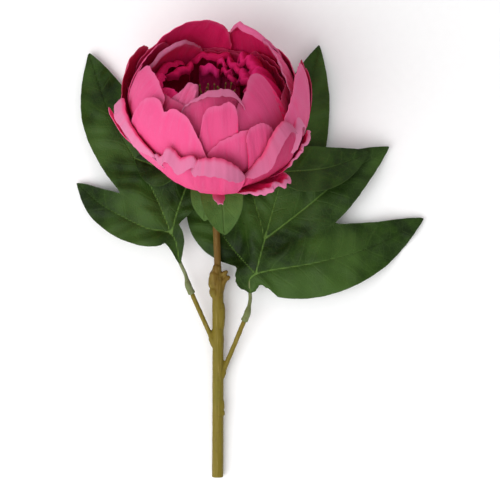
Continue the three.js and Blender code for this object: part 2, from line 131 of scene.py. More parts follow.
class Shape:
    """The points and faces of one piece, in millimetres, and what its finish reads at each point.

    marks: three numbers, such as how far along and across it is. tones: how pale, or, when negative,
    how much painted shade darkens it. inner: 1 on the side of a petal that faces the flower's axis.
    """

    def __init__(self):
        self.points, self.faces, self.marks, self.tones, self.inner = [], [], [], [], []

    def add(self, points, faces, marks=None, tone=0.0, inner=None):
        start = len(self.points)
        self.points += points
        self.faces += [[start + i for i in face] for face in faces]
        self.marks += marks or [(0, 0, 0)] * len(points)
        self.tones += [tone] * len(points)
        self.inner += inner or [0] * len(points)

    def sheet(self, n, m, spot_at, thickness, tone=0.0):
        """A closed sheet about n rows of m points. spot_at(row, place from -1 to 1 along it) gives a point
        and its marks. The front, where inner is 1, is a petal's side towards the flower's axis."""
        grid = [[spot_at(i, -1 + 2 * j / (m - 1)) for j in range(m)] for i in range(n)]
        middle = np.array([[tuple(point) for point, _ in row] for row in grid])
        along, across = np.gradient(middle, axis=0), np.gradient(middle, axis=1)
        normal = np.cross(along, across)
        normal /= np.maximum(np.linalg.norm(normal, axis=2, keepdims=True), 1e-9)
        front = middle + normal * thickness / 2
        back = middle - normal * thickness / 2
        points = [Vector(p) for p in (*front.reshape(-1, 3), *back.reshape(-1, 3))]
        layer = n * m
        faces = []
        for i in range(n - 1):
            for j in range(m - 1):
                a = i * m + j
                faces.append((a, a + m, a + m + 1, a + 1))
                faces.append((layer + a, layer + a + 1, layer + a + m + 1, layer + a + m))
        rim = list(range(m))
        rim += [i * m + m - 1 for i in range(1, n)]
        rim += [(n - 1) * m + m - 1 - j for j in range(1, m)]
        rim += [i * m for i in range(n - 2, 0, -1)]
        for a, b in zip(rim, rim[1:] + rim[:1]):
            faces.append((a, b, layer + b, layer + a))
        marks = [mark for row in grid for _, mark in row]
        self.add(points, faces, marks * 2, tone, [1] * layer + [0] * layer)

    def tube(self, path, radius_at, sides):
        """A closed round tube along points, with radius_at(share of the way)."""
        points, faces = [], []
        n = len(path)
        up = Vector((0, 0, 1))
        for i, centre in enumerate(path):
            ahead = (path[min(i + 1, n - 1)] - path[max(i - 1, 0)]).normalized()
            if abs(ahead.dot(up)) > 0.95:
                up = Vector((0, 1, 0)) if abs(ahead.y) < 0.9 else Vector((1, 0, 0))
            side = ahead.cross(up).normalized()
            up = side.cross(ahead)
            for j in range(sides):
                a = 2 * math.pi * j / sides
                points.append(centre + (side * math.cos(a) + up * math.sin(a)) * radius_at(i / (n - 1)))
        for i in range(n - 1):
            for j in range(sides):
                a, b = i * sides + j, i * sides + (j + 1) % sides
                faces.append((a, a + sides, b + sides, b))
        faces.append(list(range(sides)))
        faces.append([(n - 1) * sides + j for j in reversed(range(sides))])
        marks = [(i / (n - 1), j / sides, 0) for i in range(n) for j in range(sides)]
        self.add(points, faces, marks)

    def turned(self, outline, sides, wave=None):
        """A closed solid about the flower's axis, from an outline of (radius, height above its foot).
        wave(angle, height) is what the radius is multiplied by."""
        points, faces = [], []
        for r, h in outline:
            for j in range(sides):
                a = 2 * math.pi * j / sides
                rr = r * (wave(a, h) if wave else 1)
                points.append(in_head(rr * math.cos(a), rr * math.sin(a), h))
        n = len(outline)
        for i in range(n):
            for j in range(sides):
                a, b = i * sides + j, i * sides + (j + 1) % sides
                c, d = (i + 1) % n * sides + (j + 1) % sides, (i + 1) % n * sides + j
                faces.append((a, b, c, d))
        self.add(points, faces)

    def object(self, name, material, slot, replaced, crisp=35):
        """The visible object of this shape, with its numbers as attributes of the mesh."""
        mesh = bpy.data.meshes.new(name)
        mesh.from_pydata([p * MM for p in self.points], [], self.faces)
        mesh.validate()
        mark = mesh.attributes.new("mark", "FLOAT_VECTOR", "POINT")
        mark.data.foreach_set("vector", [x for m in self.marks for x in m])
        ribs = [abs(m[1]) for m in self.marks]  # on a leaf, how far the midrib is
        for attribute, values in (("tone", self.tones), ("inner", self.inner), ("rib", ribs)):
            mesh.attributes.new(attribute, "FLOAT", "POINT").data.foreach_set("value", values)
        finish_object(name, mesh, material, replaced, crisp)


def add_object(name, data):
    made = bpy.data.objects.new(name, data)
    bpy.context.scene.collection.objects.link(made)
    return made


def finish_object(name, mesh, material, replaced, crisp):
    """The visible object of a mesh. Its edges sharper than crisp degrees are shaded as edges."""
    mesh.materials.clear()
    mesh.materials.append(material)
    mesh.shade_smooth()
    mesh.set_sharp_from_angle(angle=rad(crisp))
    made = add_object(name, mesh)
    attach(made, "root")
    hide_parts(*replaced)


def fused(shape, name, voxel, relax, push=None):
    """The solids of a shape melted into one skin, as a moulding is, then pushed out by push(point)."""
    mesh = bpy.data.meshes.new(name + "_raw")
    mesh.from_pydata([p * MM for p in shape.points], [], shape.faces)
    raw = add_object(name + "_raw", mesh)
    melt = raw.modifiers.new("melt", "REMESH")
    melt.mode = "VOXEL"
    melt.voxel_size = voxel * MM
    ease = raw.modifiers.new("ease", "SMOOTH")
    ease.factor = 0.5
    ease.iterations = relax
    skin = bpy.data.meshes.new_from_object(raw.evaluated_get(bpy.context.evaluated_depsgraph_get()))
    skin.name = name
    bpy.data.objects.remove(raw)
    bpy.data.meshes.remove(mesh)
    if push:
        normals = [v.normal.copy() for v in skin.vertices]
        for v, n in zip(skin.vertices, normals):
            v.co += n * push(v.co / MM) * MM
    return skin


# ---- Shader maths ----


def math_node(operation, reflected=False):
    """A method that adds a Math node, for a Link and what else the operator is given."""

    def add(link, *others):
        values = (*others, link) if reflected else (link, *others)
        return link.paint.node("Math", {"operation": operation}, *values)

    return add


class Link:
    """A socket's value in a material, on which Python's operators add Math nodes."""

    def __init__(self, paint, socket):
        self.paint, self.socket = paint, socket

    __add__ = __radd__ = math_node("ADD")
    __mul__ = __rmul__ = math_node("MULTIPLY")
    __sub__, __rsub__ = math_node("SUBTRACT"), math_node("SUBTRACT", reflected=True)
    __truediv__ = math_node("DIVIDE")
    __abs__, sin, fract = math_node("ABSOLUTE"), math_node("SINE"), math_node("FRACT")

    def clamp(self):
        return self.paint.node("Clamp", {}, self)

    def step(self, low, high):
        """0 below low and 1 above high, smooth between."""
        smoothly = {"interpolation_type": "SMOOTHSTEP"}
        return self.paint.node("MapRange", smoothly, self, low, high, 0.0, 1.0)


class Paint:
    """A material under construction. Every node in it is made by node()."""

    MIX_COLORS, MIX_RESULT = (6, 7), 2  # the numbers of a Mix node's colour inputs and output

    def __init__(self, name):
        self.material = bpy.data.materials.new(name)
        self.material.use_nodes = True
        self.tree = self.material.node_tree
        self.shader = next(n for n in self.tree.nodes if n.type == "BSDF_PRINCIPLED")

    def node(self, kind, settings, *values, out=0, **named):
        """A new node with its settings, its inputs' values in order or by name, and the output wanted."""
        made = self.tree.nodes.new("ShaderNode" + kind)
        for key, value in settings.items():
            setattr(made, key, value)
        for key, value in [*enumerate(values), *named.items()]:
            socket = made.inputs[key.replace("_", " ") if isinstance(key, str) else key]
            self.set(socket, value)
        return Link(self, made.outputs[out])

    def set(self, socket, value):
        if isinstance(value, Link):
            self.tree.links.new(value.socket, socket)
        elif value is not None:
            socket.default_value = value

    def attribute(self, name, out="Fac"):
        return self.node("Attribute", {"attribute_name": name}, out=out)

    def parts(self, vector):
        split = self.node("SeparateXYZ", {}, vector)
        return [Link(self, o) for o in split.socket.node.outputs]

    def position(self):
        return self.node("TexCoord", {}, out="Object")

    def noise(self, vector, scale, detail=3.0, rough=0.5):
        named = dict(Vector=vector, Scale=scale, Detail=detail, Roughness=rough)
        return self.node("TexNoise", {}, **named)

    def stretched(self, vector, x, y, z):
        return self.node("VectorMath", {"operation": "MULTIPLY"}, vector, (x, y, z))

    def mix(self, share, a, b, blend="MIX"):
        settings = {"data_type": "RGBA", "blend_type": blend}
        mixed = self.node("Mix", settings, share, out=self.MIX_RESULT)
        for number, value in zip(self.MIX_COLORS, (a, b)):
            socket = mixed.socket.node.inputs[number]
            self.set(socket, (*value, 1) if isinstance(value, tuple) else value)
        return mixed

    def bump(self, height, distance):
        named = dict(Strength=1.0, Distance=distance * MM, Height=height)
        return self.node("Bump", {}, **named, out="Normal")

    def finish(self, color, roughness, normal=None, **fixed):
        self.set(self.shader.inputs["Base Color"], color)
        self.set(self.shader.inputs["Roughness"], roughness)
        self.set(self.shader.inputs["Normal"], normal)
        for key, value in fixed.items():
            self.shader.inputs[key.replace("_", " ")].default_value = value
        return self.material


# ---- Finishes ----


def petal_fabric(name, tip, base, pale):
    """Dyed, heat-formed fabric: base at the foot, tip towards the end, and pale where it is folded, with fine
    creases and a weave. Its side towards the axis is drawn towards base, partly a deeper colour and partly
    painted shade; its creases carry painted highlights and painted shade, and a negative tone is painted
    shade."""
    p = Paint(name)
    along, across, fold = p.parts(p.attribute("mark", "Vector"))
    painted_shade = (0.55, 0.12, 0.28)  # what the colour of a petal that lies in shade is multiplied by, as painted shade
    tone = p.attribute("tone")
    spot = p.position()
    cloud = p.noise(spot, 55.0, 4.0)
    fan_out = p.node("CombineXYZ", {}, across * 0.34 + cloud * 1.5, along * 3.5, tone * 3.0)
    creases = p.noise(fan_out, 1.0, 4.0, 0.6)
    weave = (across * 24.0).sin() * (along * 2200.0).sin()
    color = p.mix((along + (cloud - 0.5) * 0.3).step(0.2, 0.8), base, tip)
    # The side towards the axis is drawn towards base: partly that side's deeper colour, partly painted shade
    # inside the bowl.
    color = p.mix(p.attribute("inner") * 0.85, color, base)
    color = p.mix((tone.clamp() + fold * 0.8 + (cloud - 0.5) * 0.3).clamp(), color, pale)
    # Painted shade: a negative tone multiplies the colour darker, for a petal that lies in shade.
    color = p.mix((tone * -1.0).clamp(), color, painted_shade, "MULTIPLY")
    # Painted highlight on the crease ridges and painted shade in the crease hollows, following the bump's
    # creases.
    color = p.mix((creases - 0.5).step(0.03, 0.25) * 0.16 * along, color, pale)
    color = p.mix((0.5 - creases).step(0.03, 0.25) * 0.2, color, base)
    color = p.mix(along.step(0.95, 1.0) * 0.2, color, pale)
    color = p.mix((p.noise(spot, 900.0, 2.0) - 0.5).step(0.02, 0.3) * 0.07, color, pale)
    height = creases * 0.5 + weave * 0.012 + cloud * 0.35
    return p.finish(
        color,
        p.noise(spot, 240.0) * 0.16 + 0.56,
        p.bump(height, 0.9),
        Sheen_Weight=0.04,
        Sheen_Roughness=0.5,
        Sheen_Tint=(1.0, 0.3, 0.55, 1),
        Specular_IOR_Level=0.09,
    )


# A leaf's side veins, in its cloth and in its shape: how far apart they leave the midrib, how far they
# run forward for each mm outwards, how much that drops off, and how they wander along the leaf.
VEIN_SPACING, VEIN_SWEEP, VEIN_DROP = 13.0, 0.95, 0.012
VEIN_WANDER, WANDER_ALONG, WANDER_ACROSS = 2.4, 0.19, 0.03


def leaf_fabric(name, deep, mid, light, vein, rough):
    """Printed and pressed leaf cloth with a waxy face, a pale midrib and side veins."""
    p = Paint(name)
    along, away, half = p.parts(p.attribute("mark", "Vector"))
    spot = p.position()
    cloud = p.noise(spot, 38.0, 4.0)
    off = abs(away)
    sweep = off * VEIN_SWEEP - off * off * VEIN_DROP
    wander = (along * WANDER_ALONG + away * WANDER_ACROSS).sin() * VEIN_WANDER
    phase = (along - (sweep + (cloud - 0.5) * 3.0 + wander)) / VEIN_SPACING
    nearest = abs(phase.fract() - 0.5)
    side_vein = (0.5 - nearest).step(0.075, 0.012) * (off / half).step(1.0, 0.55)
    midrib = p.attribute("rib").step(0.85, 0.25)
    to_edge = {"feature": "DISTANCE_TO_EDGE"}
    cells = p.node("TexVoronoi", to_edge, Vector=spot, Scale=300.0, out="Distance")
    net = cells.step(0.09, 0.02)
    # The cloudy mix from deep to mid is partly the cloth's mottling and partly painted light and shade. The
    # lighter patches mixed in next are painted sheen.
    color = p.mix((cloud + (p.noise(spot, 120.0) - 0.5) * 0.6).step(0.3, 0.72), deep, mid)
    wear_and_sheen = p.noise(spot, 26.0, 2.0).step(0.42, 0.7)
    color = p.mix(wear_and_sheen * 0.55, color, light)
    color = p.mix(net * 0.04, color, vein)
    color = p.mix(side_vein * 0.05, color, vein)
    color = p.mix(midrib * (along / 100.0).step(1.0, 0.1) * 0.65, color, vein)
    color = p.mix((off / half).step(0.93, 1.0) * 0.35, color, (0.05, 0.09, 0.02))
    height = cloud * 0.5 - side_vein * 0.07 - midrib * 0.25 - net * 0.05 + p.noise(spot, 500.0) * 0.05
    return p.finish(color, p.noise(spot, 90.0) * 0.18 + rough, p.bump(height, 1.5), Specular_IOR_Level=0.15)


def moulded(name, low, high, streak, patch, rough, from_y=0, to_y=1000):
    """Moulded plastic with streaks and patches, and a colour that goes from low at from_y to high at to_y."""
    p = Paint(name)
    spot = p.position()
    _, y, _ = p.parts(spot)
    grain = p.noise(p.stretched(spot, 900.0, 60.0, 900.0), 1.0, 5.0, 0.6)
    cloud = p.noise(spot, 70.0, 3.0)
    share = (y + (cloud - 0.5) * 0.03).step(from_y * MM, to_y * MM)
    color = p.mix(share, low, high)
    wear_and_sheen = p.noise(p.stretched(spot, 60.0, 18.0, 60.0), 1.0, 2.0)
    color = p.mix(wear_and_sheen.step(0.5, 0.75) * 0.5, color, patch)
    color = p.mix((grain - 0.5).step(0.0, 0.22) * 0.55, color, streak)
    color = p.mix((p.noise(spot, 420.0) - 0.5).step(0.08, 0.2) * 0.3, color, (0.09, 0.05, 0.02))
    height = grain * 0.5 + p.noise(spot, 700.0) * 0.12
    return p.finish(color, grain * 0.2 + rough, p.bump(height, 0.5), Specular_IOR_Level=0.17)


def thread(name, foot, tip):
    """Dipped thread, with one colour at its foot and another at its tip."""
    p = Paint(name)
    along, _, _ = p.parts(p.attribute("mark", "Vector"))
    color = p.mix((along + (p.noise(p.position(), 300.0) - 0.5) * 0.5).step(0.1, 0.9), foot, tip)
    return p.finish(color, p.noise(p.position(), 500.0) * 0.2 + 0.5)


def steel(name):
    p = Paint(name)
    spot = p.position()
    drawn = p.noise(p.stretched(spot, 2500.0, 40.0, 2500.0), 1.0)
    color = p.mix(drawn, (0.42, 0.42, 0.41), (0.6, 0.6, 0.58))
    return p.finish(color, drawn * 0.2 + 0.28, p.bump(drawn, 0.05), Metallic=0.95)


def paper_floor(name):
    p = Paint(name)
    fibre = p.noise(p.position(), 180.0, 4.0)
    color = p.mix(fibre, (0.93, 0.93, 0.93), (0.97, 0.97, 0.97))
    return p.finish(color, 0.9)


# ---- Petals ----

BELLY = 45  # height of the flower's widest place above its foot
BLOOM_RADIUS, RING_STEP = 63, 2.8  # the first ring's radius there, and how much each next one's is less
CROWN, CROWN_STEP = 64, 4.9  # how far its bowl would close above the belly, and how much less the next
FIRST_DISC, DISC_STEP = 1.5, 1.25  # the height of its disc, and from one disc to the next
DISC_RADIUS, DISC_EDGE, DISC_BORE, DISC_HALF = 7, 6.9, 2.35, 0.35  # the half is of its thickness


class Ring:
    """The bowl that one ring of petals lies on: a disc on the pin, out to the belly and in to the rim."""

    def __init__(self, number):
        i = number - 1
        self.radius = BLOOM_RADIUS - RING_STEP * i
        self.crown = CROWN - CROWN_STEP * i
        self.disc = FIRST_DISC + DISC_STEP * i
        self.base = -math.acos((DISC_RADIUS - 0.6) / self.radius)
        self.bowl = (self.disc - BELLY) / math.sin(self.base)

    def frame(self, angle, turn):
        """The point, the way up the bowl, the way out of it and the distance to the axis."""
        crown = self.crown * (1 + 0.12 * max(0, math.sin(turn)))
        tall = self.bowl if angle < 0 else crown
        out = Vector((math.cos(turn), math.sin(turn), 0))
        reach = self.radius * math.cos(angle)
        point = out * reach + Vector((0, 0, BELLY + tall * math.sin(angle)))
        up = out * (-self.radius * math.sin(angle)) + Vector((0, 0, tall * math.cos(angle)))
        up.normalize()
        away = out * up.z - Vector((0, 0, 1)) * (up.x * out.x + up.y * out.y)
        return point, up, away, reach


def fan(tip_length, half):
    """A petal's rounded end as (across, along) points, from its length up the bowl and half its width."""
    blunt = 0.62
    points = []
    for k in range(9):
        a = math.pi * k / 8
        across = -math.copysign(abs(math.cos(a)) ** blunt, math.cos(a))
        points.append((half * across, tip_length * (0.8 + 0.2 * math.sin(a) ** blunt)))
    return points


def petal(
    shape, ring, turn, outline, lip=None, pale=0.0, stand=0.0, skew=1.0, lean=0.0, wavy=0.0, waves=0.45,
    foot=0.8, uneven=0.0, seed=0.0, columns=41,
):
    """One petal on a ring's bowl.

    turn: degrees round the axis, to the petal's middle line. outline: its end, from its left to its
    right edge, as (across, along) in mm, or the degrees up the bowl and the half width of a plain one.
    lip: the length folded at the end, the degrees of the fold (outwards when positive) and its radius.
    pale: how much paler it is, or, when negative, how much painted shade darkens it where it lies in
    shade. stand, skew: how far the petal, and its right edge over its middle, stand out of the bowl.
    lean: how far the end stands out. wavy, waves: how deep and how close its ruffles are. foot: the
    share of its length at which it has its full width.
    uneven: the share by which its lip is longer on the right.
    """
    turn = rad(turn)
    steps = 60
    top = rad(80)
    angles = [lerp(ring.base, top, k / steps) for k in range(steps + 1)]
    spots = [ring.frame(a, turn)[0] for a in angles]
    lengths = [0]
    for a, b in zip(spots, spots[1:]):
        lengths.append(lengths[-1] + (b - a).length)
    if not isinstance(outline, list):
        tip, half = outline
        outline = fan(float(np.interp(rad(tip), angles, lengths)), half)
    ends = curve_through([Vector((x, y, 0)) for x, y in outline], columns)
    highest = max(e.y for e in ends)
    fold, curl, bend = lip or (0, 0, 1)
    body_rows = 20
    lip_rows = 9 if lip else 0

    def spot_at(i, w):
        end = ends[round((w + 1) * (columns - 1) / 2)]
        u = min(1, i / (body_rows - 1))
        nick = (0.8 * ripple(w * 6, seed, 3.1) + 0.9 * ripple(w * 19, seed, 8.2)) * u**8
        across = end.x * smooth(-0.12, foot, u)
        along = end.y * u + nick
        angle = float(np.interp(along, lengths, angles))
        reach = ring.frame(angle, turn)[3]
        point, up, away, _ = ring.frame(angle, turn + across / max(reach, 5))
        height = along / highest
        side = across / max(abs(ends[0].x), abs(ends[-1].x), 8)
        out = (stand + skew * side) * smooth(0.12, 0.55, height)
        out += lean * smooth(0.4, 1.1, height) ** 1.5
        # Swells, then finer creases, then folds that run up the petal, then ruffles.
        out += 0.9 * ripple(side * 1.3, height * 2.2, seed) * smooth(0.2, 0.7, height)
        out += 0.4 * ripple(side * 5, height * 5, seed + 20) * smooth(0.3, 0.9, height)
        out += 0.6 * ripple(across * 0.26, along * 0.03, seed + 9) * smooth(0.2, 0.8, height)
        out += wavy * 1.8 * ripple(across * waves * 0.5, seed * 5, height * 1.5) * smooth(0.5, 1, u)
        point = point + away * out
        if i < body_rows:
            return in_bloom(*point), (u, across, 0)
        share = (i - body_rows + 1) / lip_rows
        varied = 1 + 0.16 * ripple(w * 3, seed, 4.4) + uneven * w
        s = share * fold * max(0.05, 1 - abs(w) ** 3) * varied
        bent = min(s / bend, rad(abs(curl)))
        straight = max(0, s - bend * bent)
        rise = bend * math.sin(bent) + straight * math.cos(bent)
        swing = bend * (1 - math.cos(bent)) + straight * math.sin(bent)
        swing += 0.5 * ripple(w * 4, share * 2, seed + 6) * share
        swing += wavy * ripple(across * waves * 0.5, seed * 5, 4) * share
        point += up * rise + away * math.copysign(1, curl) * swing
        return in_bloom(*point), (u, across, smooth(0.1, 0.4, share) if curl > 0 else 0.25 * share)

    shape.sheet(body_rows + lip_rows, columns, spot_at, 0.4, pale)


def add_disc(shape, height):
    """The middle of a threaded piece, bored for the head pin."""
    low, high = height - DISC_HALF, height + DISC_HALF
    outline = [(DISC_BORE, low), (DISC_EDGE, low), (DISC_EDGE, high), (DISC_BORE, high)]
    shape.turned(outline, 28)


# Each entry is one petal: its turn, its end, and what else is particular to it.
# A negative pale is painted shade, for petals that lie in shade under lips, behind other petals and on the
# side away from the key lamp.
PETALS = {
    1: [
        (-150, [(-30, 64), (-22, 72), (-10, 76), (2, 75), (14, 73), (26, 72), (34, 67)],
         dict(lip=(3, 110, 1.0), pale=0.15, skew=-1, stand=-1)),
        (-85, [(-19, 76), (-15, 84), (-9, 86), (-3, 86), (4, 84), (11, 78), (15, 71)],
         dict(lip=(14, 155, 1.2), stand=1.0, foot=1.15, pale=-0.3)),
        (-47, [(-20, 46), (-13, 54), (-4, 57), (4, 57), (9, 54), (13, 46)],
         dict(lip=(5, 110, 1.6), lean=5, wavy=1.6, waves=0.8)),
        (-20, [(-18, 58), (-12, 65), (-5, 71), (2, 74), (8, 71), (13, 63)],
         dict(lip=(3, 140, 0.8), skew=-1, stand=-1, wavy=0.8, waves=0.8)),
        (-179, [(-5, 66), (-3.5, 75), (0, 81), (3.5, 75), (5, 66)], dict(lean=6, pale=0.2)),
        (33, (2, 26)),
        (93, (-4, 28)),
        (150, (-6, 27)),
    ],
    2: [
        (-160, [(-22, 76), (-17, 86), (-9, 90), (0, 87), (9, 83.5), (18, 80), (27, 76), (36, 70)],
         dict(lip=(11, 145, 1.0), stand=-2, skew=2.5)),
        (-110, [(-20, 72), (-13, 75), (-9, 79), (-6, 85), (-1, 82), (3, 80), (8, 83), (13, 80), (18, 74)],
         dict(lip=(11, 155, 1.1), wavy=1.2, waves=0.35, stand=1.2, pale=-0.15)),
        (-42, [(-31, 64), (-25, 73), (-18, 80.5), (-13, 86.5), (-8, 91), (-2, 93), (4, 89), (8, 80)],
         dict(lip=(13, 150, 1.1), stand=1.2, pale=-0.6)),
        (-27, [(-12, 68), (-9, 77), (-5, 85), (-1, 89), (2, 86), (4, 78), (5, 69)],
         dict(lip=(10, 158, 0.9), stand=-1.2, skew=0, uneven=-0.4)),
        (17, [(-16, 80), (-11, 91), (-7, 88), (-2, 95), (3, 91), (7, 95), (12, 89), (16, 78)],
         dict(lean=5, pale=-0.8)),
        (61, (6, 27)),
        (121, (4, 28)),
        (172, (4, 22)),
    ],
    3: [
        (-127, [(-27, 74), (-24, 87), (-19, 97), (-12, 104), (-4, 105), (2, 100), (6, 104), (13, 103),
                (20, 98), (28, 88), (35, 75)], dict(skew=0.5, stand=0.4)),
        (-75, [(-20, 74), (-16, 81), (-10, 86.5), (-3, 90), (4, 92), (10, 91), (16, 86)], dict(pale=-0.15)),
        (-60, [(-8, 78), (-8.5, 87), (-6, 92), (0, 94), (6, 92), (10, 87), (11, 79)],
         dict(stand=2.4, skew=-1, pale=-0.25)),
        (-3, [(-38, 78), (-36, 88), (-29, 94), (-20, 99), (-10, 103), (0, 104), (9, 100), (16, 90)],
         dict(stand=2, lean=4, pale=0.12)),
        (30, (25, 24)),
        (75, (26, 26)),
        (125, (26, 26)),
        (157, [(-20, 82), (-17, 93), (-10, 100), (-2, 102), (5, 99), (10, 92), (13, 80)],
         dict(stand=1, lean=3, pale=-1.0, wavy=0.8)),
    ],
    4: [
        (-165, [(-31, 76), (-29, 86), (-26, 95), (-23, 95), (-21, 91), (-17, 98), (-12, 105), (-4, 108),
                (6, 109), (14, 107), (24, 102), (31, 90)], dict(skew=0.5)),
        (-85, [(-14, 78), (-11, 89), (-9, 98), (-5, 103), (1, 104), (6, 105), (10, 102), (11, 94), (8, 84)],
         dict(pale=-0.2, stand=1.2, lean=0.6)),
        (26, [(-32, 90), (-27, 97), (-20, 102), (-12, 105), (-4, 108), (6, 108), (14, 102), (20, 92)],
         dict(lip=(3, 50, 2.5), wavy=0.4, pale=-0.25)),
        (58, [(-26, 92), (-18, 104), (-10, 112), (-3, 116), (3, 114), (10, 107), (16, 96), (22, 84)],
         dict(lip=(5, -110, 2.0), lean=3, wavy=0.8)),
        (117, [(-36, 86), (-30, 101), (-20, 112), (-9, 118), (-2, 118), (5, 121), (13, 115), (19, 100)],
         dict(lean=4.5, stand=-1)),
        (150, [(-20, 92), (-12, 101), (-2, 104), (8, 101), (16, 94), (22, 82)], dict()),
    ],
    5: [
        (-82, [(-27, 82), (-24, 92), (-19, 98), (-12, 103), (-5, 107), (2, 108), (8, 105), (12, 100),
               (15, 90)],
         dict(lip=(7, 166, 1.1), uneven=0.8, pale=-0.35, skew=-1)),
        (-35, [(-35, 78), (-31, 88), (-24, 96), (-13, 103), (-6, 108), (0, 111), (5, 109), (7, 103), (5, 95),
               (3, 84)], dict(pale=-0.25, stand=1, skew=-1)),
        (-135, (42, 20), dict(wavy=0.6, pale=-0.7)),
        (5, (20, 20), dict(pale=-0.4)),
        (40, (22, 22), dict(wavy=0.8)),
        (85, (17, 26), dict(wavy=0.5)),
        (130, (17, 24)),
        (172, (22, 20), dict(pale=-0.3)),
    ],
    6: [
        (-165, (36, 20), dict(lip=(4, -80, 2), wavy=0.8, pale=-0.5)),
        (-118, [(-9, 84), (-6, 97), (-2, 104), (3, 103), (6, 95), (7, 82)],
         dict(lip=(11, -190, 3.0), pale=0.2, wavy=1.2, waves=0.8, stand=1.5)),
        (-127, [(-7, 80), (-5, 91), (-1, 96), (3, 93), (6, 82)],
         dict(lip=(8, -160, 2.4), pale=0.1, wavy=1.2, waves=0.9)),
        (-62, (36, 18), dict(wavy=0.8)),
        (-10, (26, 19), dict(wavy=1.2)),
        (35, (24, 20), dict(wavy=1.2)),
        (80, (19, 24), dict(wavy=1.0)),
        (134, [(-30, 70), (-26, 79), (-17, 88), (-8, 93), (0, 92), (7, 88), (14, 84), (20, 72)],
         dict(lip=(3.6, 80, 1.8), wavy=0.6, uneven=0.4)),
    ],
}
# The same for the inner petals, but what is particular to each stands in this order.
INNER_KEYS = ("wavy", "waves", "stand", "lip", "pale")
INNER_PETALS = {
    7: [
        (-145, (48, 14), 1.5, 0.45, 0, (8, -150, 2.2), 0.3),
        (-112, (42, 14), 1.2, 0.45, 0, (6, -120, 2), 0),
        (-75, (36, 14), 1.5, 0.45, 0, (6, -120, 2), 0),
        (-36, (46, 9), 2, 0.7, -3, (9, -190, 2.4), 0.5),
        (-12, (52, 9), 2, 0.7, -1, (9, -170, 2.2), 0.3),
        (12, (48, 10), 2, 0.7, -3, (9, -190, 2.4), 0.5),
        (42, (46, 12), 1.8, 0.6, -2, (8, -150, 2.4), 0.3),
        (92, (24, 14), 1.5, 0.45, 0, (8, -150, 2.2), 0.1),
        (135, (24, 14), 1.2, 0.45, 0, (6, -120, 2), 0),
        (175, (38, 14), 1.2, 0.45, 0, (6, -100, 2), 0.1),
    ],
    8: [
        (-160, (34, 12), 2, 0.45, -3, (8, -170, 2), -0.2),
        (-120, (26, 12), 2, 0.45, -3, (8, -150, 2), 0.1),
        (-70, (20, 12), 2, 0.45, -2, (8, -150, 2), 0),
        (-45, (38, 7), 2, 0.8, -6, (10, -230, 2.4), 0.7),
        (-20, (44, 7), 2, 0.8, -8, (10, -220, 2.6), 0.5),
        (8, (48, 7), 2, 0.8, -10, (10, -230, 2.4), 0.6),
        (34, (50, 8), 2, 0.8, -7, (10, -200, 2.6), 0.4),
        (62, (44, 8), 2, 0.7, -5, (9, -180, 2), 0.4),
        (95, (46, 8), 1, 0.45, -8, (12, -230, 3), 1),
        (130, (36, 12), 1.5, 0.45, -3, (8, -150, 2), 0),
    ],
}


def hanging_tab(shape):
    """The one narrow end of an outer petal that hangs below the flower."""
    spots = ((6.5, 1.2), (20, 2.6), (36, 5.2), (44, 7.4), (48.5, 8.2))
    path = curve_through([Vector((0, r, h)) for r, h in spots], 26)

    def spot_at(i, v):
        t = i / (len(path) - 1)
        _, r, h = path[i]
        width = 2.6 + 1.2 * smooth(0.4, 0.75, t) - 2.2 * smooth(0.8, 1, t)
        point = in_head(v * width + 4.6 * t + 0.4 * ripple(t * 4, v, 2), -r, h - 0.7 * v * v)
        return point, (0.6 + 0.4 * t, 4 + 4 * v, 0.8 * smooth(0.6, 0.9, t))

    shape.sheet(len(path), 9, spot_at, 0.45, 0.55)


def frills(shape, ring):
    """Narrow curled ends that stand free in the right of the bowl."""
    for k in range(16):
        turn = -62 + 9.5 * k + 5 * ripple(k * 1.7, 2, 5)
        tip = 30 + 15 * ripple(k * 2.3, 6, 1) + 12 * smooth(0, 9, k)
        inward = -4.5 - 2.2 * (k * 3 % 5) + 2 * ripple(k * 1.1, 8, 3)
        own = dict(wavy=2.2, waves=1.1, stand=inward, pale=0.15 + 0.2 * (k % 4))
        own["lip"] = (8 + 2 * (k % 3), -210, 1.8)
        petal(shape, ring, turn, (tip, 4.5 + k % 3), seed=60 + k * 3.7, columns=13, **own)


def make_petals(table, material, slot):
    for number, petals in table.items():
        ring = Ring(number)
        shape = Shape()
        add_disc(shape, ring.disc)
        if number == 1:
            hanging_tab(shape)
        if number == 8:
            frills(shape, ring)
        for k, (turn, outline, *own) in enumerate(petals):
            own = own[0] if own and isinstance(own[0], dict) else dict(zip(INNER_KEYS, own))
            petal(shape, ring, turn, outline, seed=number * 7.3 + k * 2.9, **own)
        shape.object(f"petals_{number}", material, slot, [f"petal_ring_{number}"], crisp=50)


HOT_PINK, CRIMSON, LILAC = (0.7, 0.08, 0.23), (0.88, 0.006, 0.14), (0.6, 0.21, 0.36)
WINE, PLUM, ROSE = (0.62, 0.004, 0.075), (0.3, 0.001, 0.025), (0.76, 0.022, 0.2)
petal_cloth = petal_fabric("petal fabric", HOT_PINK, CRIMSON, LILAC)
inner_cloth = petal_fabric("inner petal fabric", WINE, PLUM, ROSE)
make_petals(PETALS, petal_cloth, "petal_fabric")
make_petals(INNER_PETALS, inner_cloth, "inner_petal_fabric")


# ---- Stamens ----


GOLDEN_TURN = 2.399963  # in radians, which spreads the threads evenly


